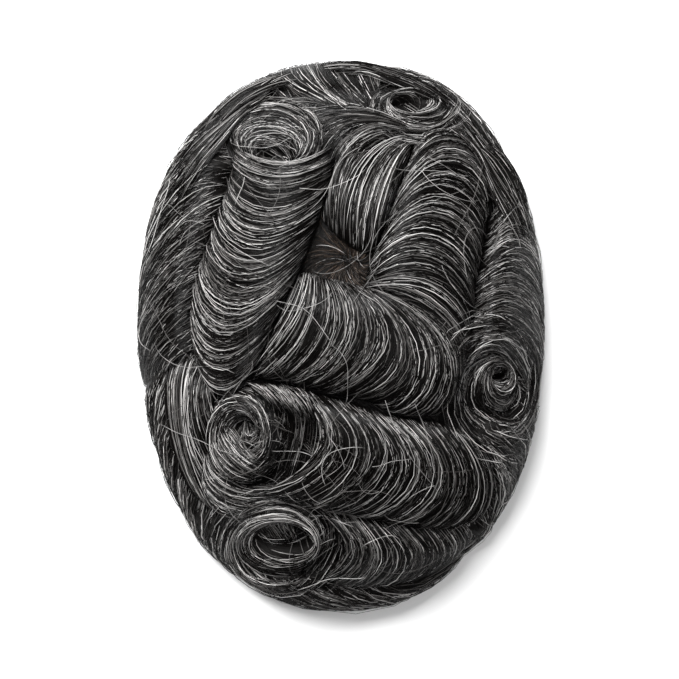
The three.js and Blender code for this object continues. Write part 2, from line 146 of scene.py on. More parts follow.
# The locks' strands, as in the CAD model: root, middle and tip seen from above, and the rise. "rim" says
# that the tips hang over the rim.
LOCKS = {
    "left_barrel_curl": (False, [
        (-0.55, 0.69, -0.28, 0.615, -0.03, 0.705, 0.78),
        (-0.56, 0.64, -0.31, 0.555, -0.035, 0.63, 0.97),
        (-0.595, 0.54, -0.355, 0.445, -0.075, 0.53, 1.0),
        (-0.64, 0.44, -0.405, 0.335, -0.115, 0.435, 1.0),
        (-0.69, 0.335, -0.455, 0.215, -0.165, 0.335, 1.0),
        (-0.735, 0.245, -0.5, 0.115, -0.205, 0.255, 1.0),
        (-0.765, 0.145, -0.55, 0.005, -0.265, 0.165, 0.97),
        (-0.77, 0.04, -0.58, -0.08, -0.335, 0.055, 0.92),
        (-0.75, -0.06, -0.59, -0.155, -0.405, -0.06, 0.84),
        (-0.72, -0.14, -0.6, -0.205, -0.48, -0.155, 0.55),
    ]),
    "centre_wave": (False, [
        (-0.215, 0.245, -0.28, 0.04, -0.445, -0.16, 0.65),
        (-0.16, 0.235, -0.16, 0.02, -0.305, -0.175, 0.85),
        (-0.095, 0.22, -0.025, 0.0, -0.175, -0.195, 0.9),
        (-0.03, 0.21, 0.11, -0.015, -0.04, -0.225, 0.93),
        (0.03, 0.2, 0.24, -0.035, 0.1, -0.24, 0.93),
        (0.07, 0.19, 0.345, -0.05, 0.26, -0.29, 0.93),
        (0.1, 0.185, 0.435, -0.035, 0.41, -0.305, 0.9),
        (0.115, 0.18, 0.5, -0.025, 0.54, -0.285, 0.84),
        (0.13, 0.18, 0.53, 0.025, 0.615, -0.15, 0.65),
    ]),
    "right_wave": (False, [
        (0.125, 0.19, 0.43, 0.1, 0.65, -0.07, 0.8),
        (0.13, 0.215, 0.43, 0.225, 0.68, 0.055, 0.88),
        (0.145, 0.265, 0.425, 0.345, 0.7, 0.18, 0.92),
        (0.18, 0.32, 0.445, 0.415, 0.72, 0.27, 0.97),
        (0.215, 0.38, 0.465, 0.495, 0.74, 0.36, 0.97),
        (0.245, 0.445, 0.495, 0.57, 0.755, 0.445, 0.97),
        (0.28, 0.515, 0.52, 0.63, 0.765, 0.525, 0.93),
        (0.32, 0.595, 0.53, 0.69, 0.76, 0.595, 0.87),
        (0.36, 0.67, 0.53, 0.73, 0.725, 0.66, 0.75),
        (0.385, 0.725, 0.51, 0.76, 0.65, 0.725, 0.5),
    ]),
    "crown_back_wave": (False, [
        (0.3, 0.775, -0.03, 0.715, -0.1, 0.44, 0.65),
        (0.32, 0.76, 0.02, 0.665, -0.05, 0.39, 0.78),
        (0.335, 0.745, 0.085, 0.615, 0.02, 0.35, 0.8),
        (0.35, 0.73, 0.15, 0.58, 0.09, 0.32, 0.78),
        (0.365, 0.72, 0.225, 0.55, 0.16, 0.31, 0.7),
        (0.38, 0.71, 0.29, 0.53, 0.22, 0.33, 0.5),
    ]),
    "front_wave": (False, [
        (-0.305, -0.18, -0.075, -0.39, -0.385, -0.605, 0.7),
        (-0.2, -0.2, 0.0, -0.405, -0.25, -0.635, 0.9),
        (-0.095, -0.225, 0.1, -0.43, -0.11, -0.66, 0.95),
        (0.02, -0.245, 0.23, -0.455, 0.035, -0.675, 0.95),
        (0.14, -0.275, 0.345, -0.48, 0.18, -0.695, 0.95),
        (0.26, -0.3, 0.46, -0.5, 0.325, -0.715, 0.93),
        (0.385, -0.315, 0.56, -0.52, 0.46, -0.73, 0.9),
        (0.49, -0.325, 0.65, -0.535, 0.58, -0.725, 0.86),
        (0.59, -0.345, 0.72, -0.54, 0.68, -0.7, 0.76),
        (0.685, -0.385, 0.77, -0.54, 0.745, -0.65, 0.5),
    ]),
    "right_side_curl": (True, [
        (0.78, 0.43, 0.86, 0.54, 0.93, 0.52, 0.9),
        (0.74, 0.31, 0.875, 0.41, 1.0, 0.33, 0.95),
        (0.71, 0.21, 0.87, 0.3, 1.02, 0.2, 1.0),
        (0.68, 0.11, 0.86, 0.2, 1.02, 0.08, 1.0),
        (0.66, 0.02, 0.85, 0.11, 1.02, -0.03, 1.0),
        (0.64, -0.05, 0.825, 0.03, 1.0, -0.12, 1.0),
        (0.63, -0.12, 0.8, -0.04, 0.96, -0.2, 0.85),
    ]),
    "back_band": (True, [
        (-0.32, 0.8, -0.42, 0.88, -0.47, 0.95, 0.78),
        (-0.17, 0.81, -0.27, 0.9, -0.28, 1.0, 0.93),
        (-0.03, 0.8, -0.14, 0.905, -0.16, 1.02, 1.0),
        (0.09, 0.79, -0.015, 0.905, -0.03, 1.03, 1.0),
        (0.205, 0.77, 0.09, 0.9, 0.08, 1.0, 0.97),
        (0.28, 0.75, 0.17, 0.875, 0.15, 0.99, 0.95),
        (0.33, 0.73, 0.23, 0.83, 0.195, 0.93, 0.75),
    ]),
    "back_sweep": (False, [
        (0.27, 0.765, -0.06, 0.835, -0.44, 0.825, 0.55),
        (0.275, 0.755, -0.05, 0.81, -0.46, 0.79, 0.6),
        (0.28, 0.745, -0.03, 0.77, -0.5, 0.755, 0.5),
    ]),
    "front_left_lip": (False, [
        (-0.7, -0.42, -0.58, -0.545, -0.28, -0.565, 0.5),
        (-0.71, -0.47, -0.58, -0.6, -0.22, -0.63, 0.7),
        (-0.72, -0.53, -0.57, -0.665, -0.2, -0.69, 0.6),
    ]),
    "front_under_wave": (False, [
        (-0.13, -0.65, 0.05, -0.79, -0.13, -0.93, 0.62),
        (0.0, -0.66, 0.17, -0.8, 0.03, -0.95, 0.78),
        (0.15, -0.69, 0.3, -0.81, 0.19, -0.94, 0.8),
        (0.3, -0.71, 0.43, -0.81, 0.34, -0.92, 0.78),
        (0.45, -0.71, 0.55, -0.79, 0.48, -0.88, 0.72),
        (0.58, -0.69, 0.66, -0.745, 0.62, -0.8, 0.5),
    ]),
    "back_right_band": (False, [
        (0.1, 0.92, 0.45, 0.815, 0.7, 0.56, 0.6),
        (0.04, 0.97, 0.49, 0.855, 0.8, 0.45, 0.8),
        (0.0, 1.0, 0.54, 0.88, 0.88, 0.4, 0.9),
        (-0.06, 1.03, 0.61, 0.935, 0.99, 0.36, 0.93),
    ]),
    "left_band": (True, [
        (-0.33, 0.87, -0.42, 0.91, -0.5, 0.93, 0.75),
        (-0.44, 0.76, -0.6, 0.8, -0.76, 0.76, 0.8),
        (-0.52, 0.68, -0.69, 0.705, -0.86, 0.64, 0.9),
        (-0.58, 0.6, -0.76, 0.6, -0.92, 0.52, 1.0),
        (-0.62, 0.5, -0.815, 0.48, -0.96, 0.4, 1.0),
        (-0.67, 0.38, -0.855, 0.345, -0.99, 0.27, 1.0),
        (-0.71, 0.27, -0.88, 0.23, -1.0, 0.15, 1.0),
        (-0.73, 0.16, -0.89, 0.115, -1.01, 0.04, 1.0),
        (-0.73, 0.05, -0.895, 0.01, -1.0, -0.07, 1.0),
        (-0.72, -0.06, -0.89, -0.1, -0.99, -0.18, 0.9),
    ]),
    "left_long_lock": (False, [
        (-0.885, -0.06, -0.865, -0.34, -0.735, -0.63, 0.6),
        (-0.82, -0.06, -0.81, -0.35, -0.68, -0.65, 0.76),
        (-0.75, -0.08, -0.74, -0.36, -0.62, -0.68, 0.76),
        (-0.68, -0.14, -0.66, -0.375, -0.56, -0.71, 0.5),
    ]),
    "left_lower_band": (True, [
        (-0.8, -0.02, -0.93, -0.13, -1.0, -0.2, 0.9),
        (-0.82, -0.15, -0.92, -0.26, -0.97, -0.34, 0.85),
        (-0.8, -0.3, -0.9, -0.39, -0.93, -0.47, 0.8),
        (-0.76, -0.43, -0.86, -0.51, -0.87, -0.6, 0.8),
        (-0.68, -0.54, -0.785, -0.63, -0.8, -0.72, 0.85),
        (-0.59, -0.66, -0.695, -0.735, -0.7, -0.82, 1.0),
        (-0.46, -0.78, -0.53, -0.86, -0.5, -0.95, 0.95),
    ]),
    "front_rim_band": (True, [
        (-0.56, -0.7, -0.57, -0.82, -0.56, -0.9, 0.95),
        (-0.42, -0.8, -0.38, -0.9, -0.32, -0.99, 1.0),
        (-0.3, -0.84, -0.24, -0.935, -0.15, -1.02, 1.0),
        (-0.14, -0.87, -0.055, -0.955, 0.05, -1.03, 1.0),
        (0.04, -0.88, 0.15, -0.955, 0.26, -1.0, 1.0),
        (0.22, -0.86, 0.32, -0.93, 0.43, -0.95, 1.0),
        (0.4, -0.78, 0.51, -0.85, 0.62, -0.85, 0.95),
    ]),
    "right_rim_band": (True, [
        (0.84, -0.22, 0.9, -0.19, 1.01, -0.1, 0.85),
        (0.7, -0.34, 0.87, -0.31, 1.0, -0.24, 1.0),
        (0.72, -0.42, 0.86, -0.4, 0.97, -0.34, 1.0),
        (0.72, -0.5, 0.84, -0.485, 0.94, -0.44, 1.0),
        (0.7, -0.58, 0.8, -0.575, 0.89, -0.54, 1.0),
        (0.64, -0.66, 0.73, -0.665, 0.82, -0.65, 1.0),
        (0.55, -0.73, 0.65, -0.75, 0.73, -0.75, 1.0),
        (0.38, -0.82, 0.47, -0.87, 0.5, -0.92, 0.95),
    ]),
}

# The curled ends: centre, outer reach, eye and its reach, seen from above, turn in degrees, and rise
WHORLS = {
    "barrel_curl_mouth": (-0.325, 0.73, 0.28, 0.15, -0.32, 0.665, 0.085, 0.032, 70, 0.85),
    "front_left_whorl": (-0.505, -0.375, 0.19, 0.18, -0.49, -0.335, 0.045, 0.03, 70, 0.72),
    "right_whorl": (0.78, -0.18, 0.11, 0.11, 0.79, -0.145, 0.03, 0.02, 70, 0.72),
    "back_whorl": (0.375, 0.84, 0.16, 0.07, 0.335, 0.855, 0.08, 0.028, 70, 0.72),
    "front_under_whorl": (-0.32, -0.765, 0.225, 0.125, -0.285, -0.745, 0.14, 0.05, 70, 0.68),
}
WHORL_ROWS = 10

# Where a whorl's strands lie, from its eye, 0, to its outer edge, 1, how far they spiral outward, and
# whether the outer ones lie over the locks beside it
WHORL_SPREADS = {
    "barrel_curl_mouth": (-0.05, 1.12, 0.25, False),
    "front_left_whorl": (-0.3, 1.12, 0.45, False),
    "right_whorl": (-0.4, 1.75, 0.4, True),
    "back_whorl": (0.15, 1.5, 0.5, True),
    "front_under_whorl": (0.2, 1.5, 0.3, True),
}

# Sheets of strands that cross several locks, line a hollow or follow the rim: how high they lie from root to
# tip, in shares of the hair's depth, or nothing where they lie on the locks, their number, the share of grey
# strands in them, and some of their strands seen from above: root, middle and tip
SHEETS = {
    "hollow_arcs": ((0.3, 0.56, 0.38, 0.12, 0.05, 0.25), 340, 0.22, [
        (-0.444, -0.175, -0.346, -0.261, -0.375, -0.484),
        (-0.356, -0.185, -0.249, -0.286, -0.307, -0.528),
        (-0.273, -0.193, -0.161, -0.304, -0.239, -0.549),
        (-0.2, -0.196, -0.088, -0.322, -0.18, -0.574),
    ]),
    "hollow_edge": ((0.4, 0.62, 0.62, 0.4), 200, 0.5, [
        (-0.493, -0.171, -0.405, -0.2, -0.336, -0.276),
        (-0.385, -0.175, -0.307, -0.211, -0.244, -0.29),
        (-0.278, -0.185, -0.205, -0.229, -0.146, -0.319),
        (-0.19, -0.193, -0.122, -0.243, -0.078, -0.34),
    ]),
    "whorl_fan": (None, 260, 0.55, [
        (-0.649, -0.42, -0.58, -0.506, -0.458, -0.549),
        (-0.624, -0.376, -0.551, -0.463, -0.424, -0.52),
        (-0.595, -0.344, -0.517, -0.427, -0.405, -0.484),
        (-0.561, -0.319, -0.478, -0.394, -0.39, -0.445),
    ]),
    "under_whorl_lining": ((0.5, 0.52, 0.4, 0.22, 0.12, 0.08), 230, 0.4, [
        (-0.483, -0.639, -0.478, -0.708, -0.414, -0.783),
        (-0.414, -0.636, -0.4, -0.708, -0.346, -0.791),
        (-0.336, -0.643, -0.317, -0.719, -0.268, -0.794),
        (-0.249, -0.665, -0.234, -0.733, -0.21, -0.783),
    ]),
    "under_whorl_floor": ((0.12, 0.05, 0.12), 80, 0.2, [
        (-0.444, -0.737, -0.327, -0.762, -0.185, -0.726),
        (-0.439, -0.755, -0.317, -0.783, -0.171, -0.747),
        (-0.424, -0.769, -0.297, -0.801, -0.161, -0.765),
    ]),
    "back_whorl_lining": ((0.35, 0.2, 0.15, 0.25, 0.35), 80, 0.3, [
        (0.244, 0.881, 0.336, 0.816, 0.512, 0.823),
        (0.234, 0.859, 0.332, 0.791, 0.527, 0.801),
        (0.254, 0.834, 0.356, 0.776, 0.532, 0.783),
    ]),
    "back_rim_sweep": (None, 330, 0.26, [
        (-0.112, 0.971, 0.21, 0.967, 0.561, 0.848),
        (-0.083, 0.956, 0.21, 0.945, 0.541, 0.837),
        (-0.044, 0.935, 0.219, 0.92, 0.527, 0.827),
    ]),
    "back_sweep_right": ((0.6, 0.72, 0.74, 0.7, 0.55), 330, 0.34, [
        (0.332, 0.769, 0.073, 0.83, -0.21, 0.834),
        (0.332, 0.758, 0.044, 0.798, -0.185, 0.762),
        (0.336, 0.751, 0.063, 0.762, -0.093, 0.668),
        (0.341, 0.74, 0.132, 0.729, -0.005, 0.603),
    ]),
    "back_sweep_left": ((0.5, 0.62, 0.62, 0.5), 150, 0.34, [
        (-0.044, 0.845, -0.288, 0.863, -0.493, 0.769),
        (-0.024, 0.823, -0.268, 0.837, -0.512, 0.711),
        (-0.015, 0.805, -0.239, 0.819, -0.463, 0.747),
    ]),
    "left_rim_sweep": (None, 300, 0.3, [
        (-0.229, 0.949, -0.522, 0.834, -0.805, 0.61),
        (-0.278, 0.92, -0.536, 0.805, -0.824, 0.56),
        (-0.327, 0.884, -0.532, 0.773, -0.805, 0.502),
        (-0.375, 0.841, -0.522, 0.74, -0.756, 0.474),
    ]),
    "right_rim_sweep": (None, 260, 0.24, [
        (0.571, 0.819, 0.79, 0.628, 0.936, 0.358),
        (0.541, 0.794, 0.751, 0.607, 0.897, 0.337),
        (0.522, 0.762, 0.712, 0.585, 0.844, 0.33),
    ]),
    "rim_seam_sweep": ((0.55, 0.85, 0.95, 0.9, 0.6), 130, 0.18, [
        (-0.731, 0.708, -0.517, 0.868, -0.2, 0.966),
        (-0.702, 0.7, -0.488, 0.857, -0.175, 0.948),
        (-0.663, 0.695, -0.451, 0.841, -0.141, 0.925),
    ]),
    "right_seam_sweep": ((0.6, 0.9, 0.97, 0.95, 0.75), 120, 0.24, [
        (0.717, 0.726, 0.858, 0.575, 0.946, 0.387),
        (0.688, 0.715, 0.824, 0.564, 0.912, 0.38),
        (0.649, 0.704, 0.785, 0.549, 0.868, 0.373),
    ]),
}

# The locks from the one that lies on top to the one that lies deepest
STACKING_ORDER = [
    "left_barrel_curl", "centre_wave", "right_wave", "crown_back_wave", "front_wave", "barrel_curl_mouth",
    "front_left_whorl", "right_whorl", "back_whorl", "front_under_whorl", "right_side_curl", "back_band",
    "back_sweep", "front_left_lip", "front_under_wave", "back_right_band", "left_band", "left_long_lock",
    "left_lower_band", "front_rim_band", "right_rim_band",
]


# The dome

def reach_of(flat):
    """How far out points given in shares lie, where 1 is the outline."""
    power = np.where(flat[..., 1] > 0, BACK_CORNER_POWER, FRONT_CORNER_POWER)
    return (np.abs(flat[..., 0]) ** power + np.abs(flat[..., 1]) ** power) ** (1 / power)


def roll_out(plan):
    """Places seen from above, in shares, as places on the dome rolled out flat."""
    reach = np.maximum(reach_of(plan), 1e-9)
    rolled = np.minimum(np.arcsin(np.minimum(reach, 1)) / QUARTER_TURN, HEM_REACH)
    return plan * (rolled / reach)[..., None]


def keep_above_hem(flat):
    """Rolled-out places held to where the hair ends above the surface."""
    reach = np.maximum(reach_of(flat), 1e-9)
    return flat * np.minimum(1, HEM_REACH / reach)[..., None]


def unit_dome(flat):
    """The direction, on a unit dome, of rolled-out places."""
    reach = np.maximum(reach_of(flat), 1e-9)
    turn = reach * QUARTER_TURN
    return np.concatenate([flat * (np.sin(turn) / reach)[..., None], np.cos(turn)[..., None]], axis=-1)


def on_dome(flat, height):
    """Points in space over rolled-out places, at heights over the base's outer face."""
    unit = unit_dome(flat)
    out = unit * HAIR_GROWTH
    out /= np.linalg.norm(out, axis=-1, keepdims=True)
    return unit * BASE_AXES + out * np.asarray(height)[..., None]


def hair_room(flat):
    """The depth of hair that there is room for over rolled-out places."""
    return np.linalg.norm(unit_dome(flat) * HAIR_GROWTH, axis=-1)


# The locks' shapes

def along_curve(points, along, closed):
    """Places on a smooth curve through points. Past an open curve's ends it runs straight on."""
    count = len(points)
    if closed:
        place = (along % 1.0) * count
        first = np.floor(place).astype(int) % count
        t = (place - np.floor(place))[..., None]
        a, b, c, d = (points[(first + k) % count] for k in (-1, 0, 1, 2))
        beyond = 0
    else:
        inside = np.clip(along, 0, 1)
        place = inside * (count - 1)
        first = np.minimum(np.floor(place).astype(int), count - 2)
        t = (place - first)[..., None]
        ends = np.vstack([2 * points[0] - points[1], points, 2 * points[-1] - points[-2]])
        a, b, c, d = (ends[first + k] for k in (0, 1, 2, 3))
        slope = np.where((along < 0)[..., None], points[1] - points[0], points[-1] - points[-2])
        beyond = (along - inside)[..., None] * (count - 1) * slope
        beyond[..., 2:] = 0
    curve = 2 * b + (c - a) * t + (2 * a - 5 * b + 4 * c - d) * t**2 + (3 * b - 3 * c + d - a) * t**3
    return curve / 2 + beyond


def bowed(root, mid, tip, way):
    """Places a share of the way along curves that run from root over mid to tip."""
    bend = 2 * mid - (root + tip) / 2
    t = way[..., None]
    return root * (1 - t) ** 2 + bend * 2 * t * (1 - t) + tip * t**2


def whorl_rows(whorl):
    """A whorl's strands as rows like the other locks', worked out round its oval."""
    centre = np.array(whorl[0:2])
    reach = np.array(whorl[2:4])
    eye = np.array(whorl[4:6])
    eye_reach = np.array(whorl[6:8])
    turn = math.radians(whorl[8])
    rows = []
    for i in range(WHORL_ROWS):
        angle = i / WHORL_ROWS * 2 * math.pi
        row = []
        for share in (0, 0.5, 1):
            at = angle + turn * share
            middle = eye + (centre - eye) * share
            size = eye_reach + (reach - eye_reach) * share
            row += list(middle + size * np.array([math.cos(at), math.sin(at)]))
        rows.append(row + [whorl[9]])
    return rows


def down_at(way):
    """How far down its lock a strand is, seen from above, a share of the way along it."""
    return (1 - np.cos(way * math.pi)) / 2


class Lock:
    """One lock: its guide curves on the rolled-out dome, and its height there."""

    OUTLINE_STEPS = 60
    CORE_GRID = (60, 18)
    SURFACE_GRID = (260, 90)

    def __init__(self, name):
        self.name = name
        self.closed = name in WHORLS
        self.root_lean, self.tip_lean, self.cover = LEANS.get(name, USUAL_LEAN)
        self.over_rim = False if self.closed else LOCKS[name][0]
        rows = np.array(whorl_rows(WHORLS[name]) if self.closed else LOCKS[name][1])
        rise = rows[:, 6:7]
        self.root = np.hstack([roll_out(rows[:, 0:2]), rise])
        self.mid = np.hstack([roll_out(rows[:, 2:4]), rise])
        self.tip = np.hstack([roll_out(rows[:, 4:6]), rise])
        self.clearance = None
        self.measure()

    def place(self, along, down, above_hem=True):
        """Rolled-out places on the lock, and its rise there."""
        root = along_curve(self.root, along, self.closed)
        mid = along_curve(self.mid, along, self.closed)
        tip = along_curve(self.tip, along, self.closed)
        flat = bowed(root, mid, tip, down)[..., :2]
        return keep_above_hem(flat) if above_hem else flat, np.clip(root[..., 2], 0, 1)

    def hump(self, down):
        """How high the lock stands a way down its strands, as a share of its rise."""
        angle = np.arccos(np.clip(1 - 2 * down, -1, 1))
        if self.over_rim:
            angle = np.where(angle > QUARTER_TURN, QUARTER_TURN + (angle - QUARTER_TURN) * RIM_FOLD, angle)
        return (1 - np.abs(np.cos(angle)) ** HUMP_FULLNESS) ** (1 / HUMP_FULLNESS)

    def top(self, along, down):
        """Rolled-out places on the lock, and the height of its top over the base there."""
        flat, rise = self.place(along, down)
        rounding = np.clip(self.clearance.at(flat) / VALLEY_WIDTH, 0, 1) if self.clearance else 1
        if not self.closed:
            beyond = np.maximum(np.maximum(-along, along - 1), 0) * self.length / END_FADE
            rounding = np.minimum(rounding, 1 - np.clip(beyond, 0, 1))
        rounding = np.sqrt(1 - (1 - rounding) ** 2)
        height = (hair_room(flat) - LOCK_SEAT) * rise * self.hump(down) * rounding
        return flat, LOCK_SEAT + np.maximum(height, 0)

    def comb(self, home, way, swing=1):
        """Where strands from homes along an open lock have come to, a share of the way from root to tip."""
        sweep = SWEEPS.get(self.name, USUAL_SWEEP)
        lean = (self.root_lean * np.maximum(1 - way, 0) ** sweep + self.tip_lean * way**2) * MM / self.length
        along = np.clip(home + lean * swing, -0.04, 1.04)
        return along, down_at(way)

    def outline(self):
        """The lock's edge on the rolled-out dome, as a closed loop of points."""
        steps = np.linspace(0, 1, self.OUTLINE_STEPS, endpoint=False)
        if self.closed:
            return self.place(steps, np.ones_like(steps))[0]
        side = steps[::2]
        parts = [
            self.place(np.zeros_like(side), side)[0],
            self.place(steps, np.ones_like(steps))[0],
            self.place(np.ones_like(side), 1 - side)[0],
            self.place(1 - steps, np.zeros_like(steps))[0],
        ]
        return np.vstack(parts)

    def measure(self):
        """Works out the lock's length across its strands, and its strands' mean length, in metres."""
        steps = np.linspace(0, 1, 40)
        flat, rise = self.place(steps, np.full_like(steps, 0.5))
        middle = on_dome(flat, rise * hair_room(flat))
        self.length = float(np.linalg.norm(np.diff(middle, axis=0), axis=1).sum())
        flat, top = self.top(*np.meshgrid(np.linspace(0, 1, 12), down_at(steps), indexing="ij"))
        strands = np.linalg.norm(np.diff(on_dome(flat, top), axis=1), axis=-1).sum(axis=1)
        self.width = float(strands.mean())


class Field:
    """A value over the rolled-out dome, held on a square grid and read between its points."""

    SIDE = 220
    EDGE = 1.03

    def __init__(self, values):
        self.values = values

    @classmethod
    def grid(cls):
        line = np.linspace(-cls.EDGE, cls.EDGE, cls.SIDE)
        return np.stack(np.meshgrid(line, line, indexing="ij"), axis=-1)

    def at(self, flat):
        place = np.clip((flat + self.EDGE) / (2 * self.EDGE) * (self.SIDE - 1), 0, self.SIDE - 1.001)
        cell = np.floor(place).astype(int)
        part = place - cell
        i, j = cell[..., 0], cell[..., 1]
        x, y = part[..., 0], part[..., 1]
        v = self.values
        low = v[i, j] * (1 - y) + v[i, j + 1] * y
        high = v[i + 1, j] * (1 - y) + v[i + 1, j + 1] * y
        return low * (1 - x) + high * x


def distance_outside(outline):
    """How far each point of the grid lies outside a closed outline, in metres, and below 0 inside it."""
    grid = Field.grid().reshape(-1, 2)
    nearest = np.full(len(grid), np.inf)
    for point in outline:
        nearest = np.minimum(nearest, (((grid - point) * ROLLED_SCALE) ** 2).sum(axis=1))
    inside = np.zeros(len(grid), bool)
    for (x0, y0), (x1, y1) in zip(outline, np.roll(outline, -1, axis=0)):
        if y0 != y1:
            crosses = (grid[:, 1] > min(y0, y1)) & (grid[:, 1] <= max(y0, y1))
            inside ^= crosses & (grid[:, 0] < x0 + (grid[:, 1] - y0) * (x1 - x0) / (y1 - y0))
    distance = np.sqrt(nearest) * np.where(inside, -1, 1)
    return distance.reshape(Field.SIDE, Field.SIDE)


def smoothed(values, times=2):
    """A grid's values, each evened out with those beside it."""
    for _ in range(times):
        padded = np.pad(values, 1, mode="edge")
        values = (padded[:-2, 1:-1] + padded[2:, 1:-1] + padded[1:-1, :-2] + padded[1:-1, 2:]) / 4
    return values


def stacked_locks():
    """Every lock by name, each with its distance from those on top of it, and the distance to them all."""
    locks = {}
    nearest = None
    for name in STACKING_ORDER:
        lock = Lock(name)
        if nearest is not None:
            lock.clearance = Field(smoothed(nearest))
        own = distance_outside(lock.outline())
        nearest = own if nearest is None else np.minimum(nearest, own)
        locks[name] = lock
    return locks, Field(nearest)


def hair_surface(locks):
    """The height of the hair's surface over the base, all locks taken together."""
    heights = np.full((Field.SIDE, Field.SIDE), LOCK_SEAT)
    along, down = np.meshgrid(*[np.linspace(0, 1, count) for count in Lock.SURFACE_GRID], indexing="ij")
    for lock in locks.values():
        flat, top = lock.top(along, down)
        place = np.rint((flat + Field.EDGE) / (2 * Field.EDGE) * (Field.SIDE - 1)).astype(int)
        place = np.clip(place, 0, Field.SIDE - 1)
        np.maximum.at(heights, (place[..., 0], place[..., 1]), top)
    return Field(smoothed(heights, 3))


class Comb:
    """The way that hair lies all over the dome, gathered from the locks' strands."""

    REACH = 4.5 * MM
    CROWN = np.array([0.054, 0.29])
    AHEAD = 0.02

    def __init__(self, locks):
        places = []
        ways = []
        home, way = np.meshgrid(np.linspace(0.02, 0.98, 16), np.linspace(0.05, 0.95, 10), indexing="ij")
        for lock in locks.values():
            if lock.closed:
                here, _ = lock.place(home, way)
                ahead, _ = lock.place(home + self.AHEAD, way)
            else:
                here, _ = lock.place(*lock.comb(home, way))
                ahead, _ = lock.place(*lock.comb(home, way + self.AHEAD))
            seen = np.ones(home.shape, bool) if lock.clearance is None else lock.clearance.at(here) > -2 * MM
            places.append((here * ROLLED_SCALE)[seen])
            ways.append(((ahead - here) * ROLLED_SCALE)[seen])
        crown = roll_out(self.CROWN[None, :])[0] * ROLLED_SCALE
        angle, radius = np.meshgrid(np.linspace(0, 2 * math.pi, 20, endpoint=False), [2, 5, 8, 12, 16])
        spoke = np.stack([np.cos(angle), np.sin(angle)], axis=-1).reshape(-1, 2)
        for _ in range(2):
            places.append(crown + spoke * radius.reshape(-1, 1) * MM)
            ways.append(spoke + 0.25 * spoke[:, ::-1] * [-1, 1])
        self.places = np.concatenate(places)
        ways = np.concatenate(ways)
        turn = 2 * np.arctan2(ways[:, 1], ways[:, 0])
        self.turns = np.stack([np.cos(turn), np.sin(turn)], axis=-1)

    def way(self, places, before=None):
        """The way that hair lies at places, turned to run on from the way before."""
        gaps = ((places[:, None, :] - self.places[None]) ** 2).sum(axis=-1)
        weights = np.exp(-gaps / (2 * self.REACH**2)) + 1e-9 / (gaps / self.REACH**2 + 1)
        turns = weights @ self.turns
        angle = np.arctan2(turns[:, 1], turns[:, 0]) / 2
        way = np.stack([np.cos(angle), np.sin(angle)], axis=-1)
        if before is not None:
            way *= np.where((way * before).sum(axis=1) < 0, -1, 1)[:, None]
        return way

    def trace(self, starts, first, length, steps, bend):
        """Paths from starts through the combed hair, each with its own length and bend."""
        places = starts * ROLLED_SCALE
        way = self.way(places) * first
        path = [places]
        for _ in range(steps - 1):
            turned = way + bend * np.stack([-way[:, 1], way[:, 0]], axis=-1)
            places = places + turned * length / (steps - 1)
            way = self.way(places, way)
            path.append(places)
        return np.stack(path, axis=1) / ROLLED_SCALE


# Meshes

def mesh_object(name, points, faces_flat, face_sizes, loop_uvs, material):
    """A mesh object from arrays: its faces' corners in one list, and how many corners each face has."""
    mesh = bpy.data.meshes.new(name)
    mesh.vertices.add(len(points))
    mesh.vertices.foreach_set("co", np.asarray(points, np.float32).ravel())
    mesh.loops.add(len(faces_flat))
    mesh.loops.foreach_set("vertex_index", np.asarray(faces_flat, np.int32))
    starts = np.concatenate([[0], np.cumsum(face_sizes)[:-1]])
    mesh.polygons.add(len(face_sizes))
    mesh.polygons.foreach_set("loop_start", starts.astype(np.int32))
    mesh.polygons.foreach_set("use_smooth", np.full(len(face_sizes), True))
    mesh.update(calc_edges=True)
    uv = mesh.uv_layers.new(name="OFBake")
    uv.data.foreach_set("uv", np.asarray(loop_uvs, np.float32).ravel())
    mesh.materials.append(material)
    mesh.validate()
    piece = bpy.data.objects.new(name, mesh)
    bpy.context.scene.collection.objects.link(piece)
    return piece


def grid_solid(name, upper, lower, closed, span, material):
    """A closed solid between two grids of points, with a map that gives each corner its place in span."""
    rows, columns = upper.shape[:2]
    points = np.concatenate([upper.reshape(-1, 3), lower.reshape(-1, 3)])
    index = np.arange(rows * columns).reshape(rows, columns)
    below = index + rows * columns
    if closed:
        span = np.concatenate([span, span[:1] + [span[1, 0, 0] * rows, 0]])
    quads = []
    uvs = []

    def add(*corners):
        quad = [grid[row % rows, column] for grid, row, column in corners]
        marks = [span[row, column] for _, row, column in corners]
        quads.append(np.stack(quad, axis=-1).reshape(-1, 4))
        uvs.append(np.stack(marks, axis=-2).reshape(-1, 4, 2))

    i = np.arange(rows if closed else rows - 1)
    j = np.arange(columns - 1)
    gi, gj = np.meshgrid(i, j, indexing="ij")
    add((index, gi, gj), (index, gi, gj + 1), (index, gi + 1, gj + 1), (index, gi + 1, gj))
    add((below, gi, gj), (below, gi + 1, gj), (below, gi + 1, gj + 1), (below, gi, gj + 1))
    for column, turn in ((0, -1), (columns - 1, 1)):
        c = np.full_like(i, column)
        add(*[(index, i, c), (below, i, c), (below, i + 1, c), (index, i + 1, c)][::turn])
    if not closed:
        for row, turn in ((0, 1), (rows - 1, -1)):
            r = np.full_like(j, row)
            add(*[(index, r, j), (below, r, j), (below, r, j + 1), (index, r, j + 1)][::turn])
    quads = np.concatenate(quads)
    uvs = np.concatenate(uvs)
    return mesh_object(name, points, quads.ravel(), np.full(len(quads), 4), uvs.reshape(-1, 2), material)


def turn_outward(piece):
    """Turns a closed mesh's faces so that they all face out."""
    bm = bmesh.new()
    bm.from_mesh(piece.data)
    bmesh.ops.recalc_face_normals(bm, faces=bm.faces)
    bm.to_mesh(piece.data)
    bm.free()


